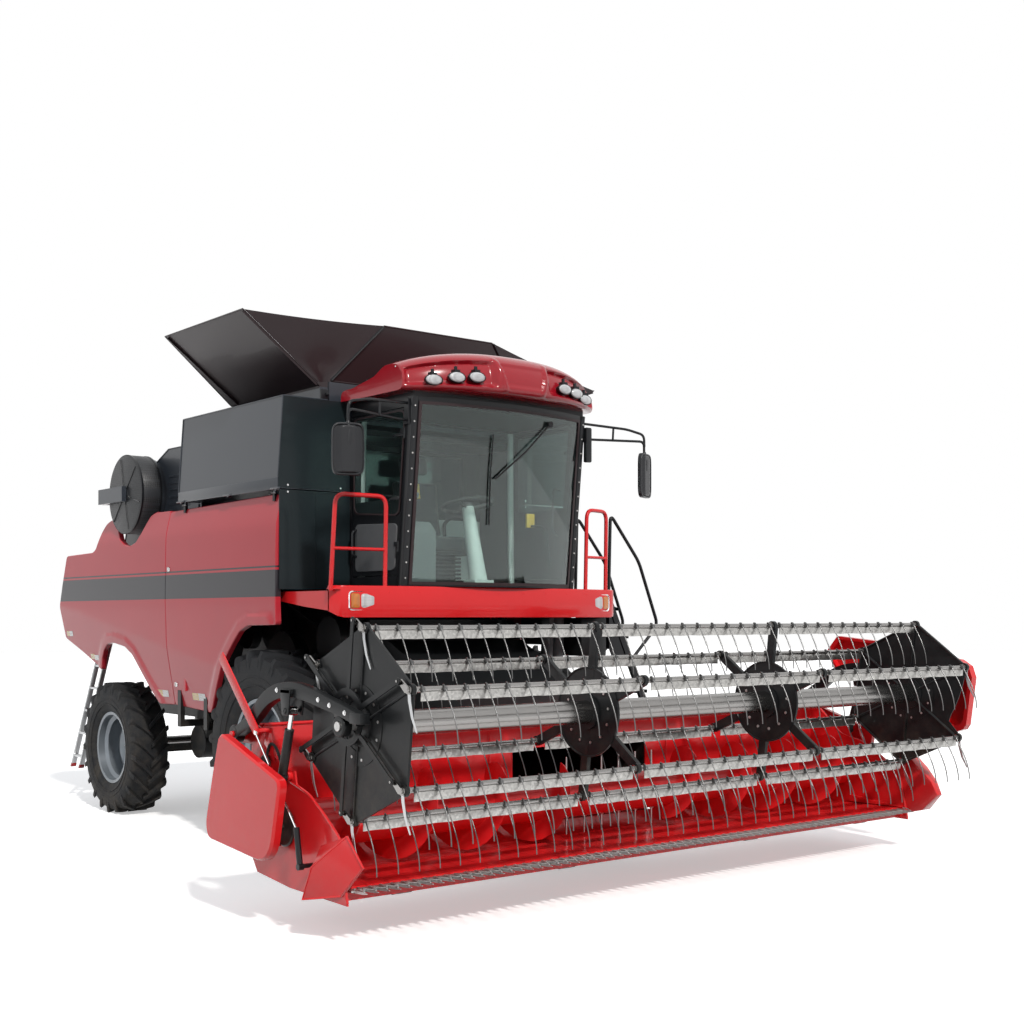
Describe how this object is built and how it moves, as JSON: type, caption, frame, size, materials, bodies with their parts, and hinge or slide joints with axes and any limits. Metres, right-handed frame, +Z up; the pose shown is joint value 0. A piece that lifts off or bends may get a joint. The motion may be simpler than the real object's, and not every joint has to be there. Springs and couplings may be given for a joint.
{
  "type": "combine harvester",
  "caption": "Self-propelled grain combine harvester with a wide cutting table, tined reel, cab, grain tank with open flaps and a folded unloading tube.",
  "frame": {"origin": "On the ground, under the middle of the whole machine's box, in length and width", "axes": "+Z up, -Y forward, +X to the operator's left"},
  "size_m": [5.7, 8.109, 4.2588],
  "materials": {
    "red_paint": "gloss",
    "tank_paint": "satin",
    "black_paint": "satin",
    "bright_steel": "satin",
    "ladder_aluminium": "satin",
    "tyre_rubber": "matte",
    "rim_silver": "satin",
    "cab_glass": "gloss",
    "seat_cover": "matte",
    "mirror_shell": "satin",
    "lamp_lens": "gloss",
    "engine_grey": "satin"
  },
  "bodies": {
    "machine": {"chassis_frame": "black_paint", "front_axle": "black_paint", "rear_axle": "black_paint", "threshing_body": "black_paint", "straw_hood": "red_paint", "grain_tank": "tank_paint", "engine_hood": "tank_paint", "engine": "engine_grey", "cab_frame": "black_paint", "cab_roof": "red_paint", "cab_glass": "cab_glass", "operator_seat": "seat_cover", "steering_column": "black_paint", "platform": "red_paint", "lamps": "lamp_lens", "mirrors": "mirror_shell", "rear_ladder": "ladder_aluminium", "rear_side_panels": "red_paint"},
    "front_wheel_left": {"front_tyre_left": "tyre_rubber", "front_rim_left": "rim_silver"},
    "front_wheel_right": {"front_tyre_right": "tyre_rubber", "front_rim_right": "rim_silver"},
    "steering_left": {"knuckle_left": "black_paint"},
    "steering_right": {"knuckle_right": "black_paint"},
    "tie_rod": {"tie_rod": "black_paint"},
    "rear_wheel_left": {"rear_tyre_left": "tyre_rubber", "rear_rim_left": "rim_silver"},
    "rear_wheel_right": {"rear_tyre_right": "tyre_rubber", "rear_rim_right": "rim_silver"},
    "header": {"feeder_house": "black_paint", "header_frame": "red_paint", "cutter_bar": "bright_steel", "header_end_shields": "red_paint"},
    "knife": {"knife": "bright_steel"},
    "auger": {"header_auger": "red_paint"},
    "reel_arms": {"reel_arms": "black_paint", "reel_drive_guard": "red_paint"},
    "reel": {"reel_rotor": "black_paint"},
    "reel_control": {"reel_control": "black_paint"},
    "lift_barrels": {"lift_barrels": "black_paint"},
    "lift_rods": {"lift_rods": "bright_steel"},
    "reel_barrels": {"reel_lift_barrels": "black_paint"},
    "reel_rods": {"reel_lift_rods": "bright_steel"},
    "shield_left": {"side_shield_left": "red_paint"},
    "shield_right": {"side_shield_right": "red_paint"},
    "door_left": {"cab_door_left": "black_paint"},
    "door_right": {"cab_door_right": "black_paint"},
    "flap_left": {"tank_flap_left": "tank_paint"},
    "flap_right": {"tank_flap_right": "tank_paint"},
    "flap_front": {"tank_flap_front": "tank_paint"},
    "flap_rear": {"tank_flap_rear": "tank_paint"},
    "dust_screen": {"dust_screen": "black_paint"},
    "unloader": {"unloading_auger": "red_paint"},
    "ladder": {"access_ladder": "black_paint"},
    "bat_1": {"reel_bat_1": "bright_steel"},
    "bat_2": {"reel_bat_2": "bright_steel"},
    "bat_3": {"reel_bat_3": "bright_steel"},
    "bat_4": {"reel_bat_4": "bright_steel"},
    "bat_5": {"reel_bat_5": "bright_steel"},
    "bat_6": {"reel_bat_6": "bright_steel"}
  },
  "joints": [
    {"name": "front_wheel_spin_left", "type": "hinge", "parent": "machine", "child": "front_wheel_left", "pos_m": [1.255, -0.1215, 0.81], "axis": [1, 0, 0], "continuous": true},
    {"name": "steer_left", "type": "hinge", "parent": "machine", "child": "steering_left", "pos_m": [1.035, 2.7685, 0.627], "axis": [0, 0, 1], "range_deg": [-34, 34]},
    {"name": "rear_wheel_spin_left", "type": "hinge", "parent": "steering_left", "child": "rear_wheel_left", "pos_m": [1.305, 2.7685, 0.627], "axis": [1, 0, 0], "continuous": true},
    {"name": "front_wheel_spin_right", "type": "hinge", "parent": "machine", "child": "front_wheel_right", "pos_m": [-1.255, -0.1215, 0.81], "axis": [1, 0, 0], "continuous": true},
    {"name": "steer_right", "type": "hinge", "parent": "machine", "child": "steering_right", "pos_m": [-1.035, 2.7685, 0.627], "axis": [0, 0, 1], "range_deg": [-34, 34]},
    {"name": "rear_wheel_spin_right", "type": "hinge", "parent": "steering_right", "child": "rear_wheel_right", "pos_m": [-1.305, 2.7685, 0.627], "axis": [1, 0, 0], "continuous": true},
    {"name": "tie_rod_turn", "type": "hinge", "parent": "steering_left", "child": "tie_rod", "pos_m": [1.035, 2.5885, 0.627], "axis": [0, 0, 1], "range_deg": [-34, 34]},
    {"name": "header_lift", "type": "hinge", "parent": "machine", "child": "header", "pos_m": [0, -0.6815, 1.56], "axis": [-1, 0, 0], "range_deg": [-4, 18]},
    {"name": "reel_lift", "type": "hinge", "parent": "header", "child": "reel_arms", "pos_m": [0, -2.1715, 1.15], "axis": [-1, 0, 0], "range_deg": [0, 20]},
    {"name": "reel_spin", "type": "hinge", "parent": "reel_arms", "child": "reel", "pos_m": [0, -3.4015, 1.273], "axis": [1, 0, 0], "continuous": true},
    {"name": "bat_1_turn", "type": "hinge", "parent": "reel", "child": "bat_1", "pos_m": [0, -3.46281, 1.81957], "axis": [1, 0, 0], "continuous": true},
    {"name": "bat_2_turn", "type": "hinge", "parent": "reel", "child": "bat_2", "pos_m": [0, -3.9055, 1.49319], "axis": [1, 0, 0], "continuous": true},
    {"name": "bat_3_turn", "type": "hinge", "parent": "reel", "child": "bat_3", "pos_m": [0, -3.84419, 0.94662], "axis": [1, 0, 0], "continuous": true},
    {"name": "bat_4_turn", "type": "hinge", "parent": "reel", "child": "bat_4", "pos_m": [0, -3.34019, 0.72643], "axis": [1, 0, 0], "continuous": true},
    {"name": "bat_5_turn", "type": "hinge", "parent": "reel", "child": "bat_5", "pos_m": [0, -2.8975, 1.05281], "axis": [1, 0, 0], "continuous": true},
    {"name": "bat_6_turn", "type": "hinge", "parent": "reel", "child": "bat_6", "pos_m": [0, -2.95881, 1.59938], "axis": [1, 0, 0], "continuous": true},
    {"name": "reel_control_spin", "type": "hinge", "parent": "reel_arms", "child": "reel_control", "pos_m": [-2.65, -3.3415, 1.318], "axis": [1, 0, 0], "continuous": true},
    {"name": "auger_spin", "type": "hinge", "parent": "header", "child": "auger", "pos_m": [0, -2.6815, 0.625], "axis": [1, 0, 0], "continuous": true},
    {"name": "knife_stroke", "type": "slide", "parent": "header", "child": "knife", "axis": [1, 0, 0], "range_m": [-0.0381, 0.0381]},
    {"name": "lift_barrel_tilt", "type": "hinge", "parent": "machine", "child": "lift_barrels", "pos_m": [0, -0.3365, 0.72], "axis": [-1, 0, 0], "range_deg": [-4, 16]},
    {"name": "lift_rod_slide", "type": "slide", "parent": "lift_barrels", "child": "lift_rods", "axis": [0, -0.9942, -0.1071], "range_m": [-0.07, 0.28]},
    {"name": "reel_barrel_tilt", "type": "hinge", "parent": "header", "child": "reel_barrels", "pos_m": [0, -2.7315, 0.93], "axis": [-1, 0, 0], "range_deg": [-1, 17]},
    {"name": "reel_rod_slide", "type": "slide", "parent": "reel_barrels", "child": "reel_rods", "axis": [0, -0.2873, 0.9578], "range_m": [-0.005, 0.22]},
    {"name": "shield_left_open", "type": "hinge", "parent": "machine", "child": "shield_left", "pos_m": [1.512, 0.2785, 2.852], "axis": [0, -1, 0], "range_deg": [0, 80]},
    {"name": "cab_door_left_open", "type": "hinge", "parent": "machine", "child": "door_left", "pos_m": [0.874, -1.30158, 2.85], "axis": [0, 0.1022, -0.9948], "range_deg": [0, 60]},
    {"name": "shield_right_open", "type": "hinge", "parent": "machine", "child": "shield_right", "pos_m": [-1.512, 0.2785, 2.852], "axis": [0, 1, 0], "range_deg": [0, 80]},
    {"name": "cab_door_right_open", "type": "hinge", "parent": "machine", "child": "door_right", "pos_m": [-0.874, -1.30158, 2.85], "axis": [0, -0.1022, 0.9948], "range_deg": [0, 60]},
    {"name": "tank_flap_left_close", "type": "hinge", "parent": "machine", "child": "flap_left", "pos_m": [1.07, 0.2785, 3.73], "axis": [0, -1, 0], "range_deg": [0, 162]},
    {"name": "tank_flap_right_close", "type": "hinge", "parent": "machine", "child": "flap_right", "pos_m": [-1.07, 0.2785, 3.73], "axis": [0, 1, 0], "range_deg": [0, 143]},
    {"name": "tank_flap_front_close", "type": "hinge", "parent": "machine", "child": "flap_front", "pos_m": [0, -0.4715, 3.775], "axis": [-1, 0, 0], "range_deg": [0, 105]},
    {"name": "tank_flap_rear_close", "type": "hinge", "parent": "machine", "child": "flap_rear", "pos_m": [0, 1.0485, 3.775], "axis": [1, 0, 0], "range_deg": [0, 105]},
    {"name": "dust_screen_spin", "type": "hinge", "parent": "machine", "child": "dust_screen", "pos_m": [-1.44, 2.2285, 3.02], "axis": [1, 0, 0], "continuous": true},
    {"name": "unloader_swing", "type": "hinge", "parent": "machine", "child": "unloader", "pos_m": [1.7, 0.0085, 3.34], "axis": [0, 0, -1], "range_deg": [0, 95]},
    {"name": "ladder_swing", "type": "hinge", "parent": "machine", "child": "ladder", "pos_m": [1.462, -1.0695, 1.2], "axis": [0, 0, -1], "range_deg": [0, 90]}
  ],
  "couplings": [
    {"joint": "steer_right", "follows": "steer_left", "ratio": 1},
    {"joint": "tie_rod_turn", "follows": "steer_left", "ratio": -1},
    {"joint": "lift_barrel_tilt", "follows": "header_lift", "ratio": 0.7894},
    {"joint": "lift_rod_slide", "follows": "header_lift", "m_per_rad": 0.8429},
    {"joint": "reel_barrel_tilt", "follows": "reel_lift", "ratio": 0.7697},
    {"joint": "reel_rod_slide", "follows": "reel_lift", "m_per_rad": 0.5887},
    {"joint": "reel_control_spin", "follows": "reel_spin", "ratio": 1},
    {"joint": "bat_1_turn", "follows": "reel_spin", "ratio": -1},
    {"joint": "bat_2_turn", "follows": "reel_spin", "ratio": -1},
    {"joint": "bat_3_turn", "follows": "reel_spin", "ratio": -1},
    {"joint": "bat_4_turn", "follows": "reel_spin", "ratio": -1},
    {"joint": "bat_5_turn", "follows": "reel_spin", "ratio": -1},
    {"joint": "bat_6_turn", "follows": "reel_spin", "ratio": -1}
  ]
}
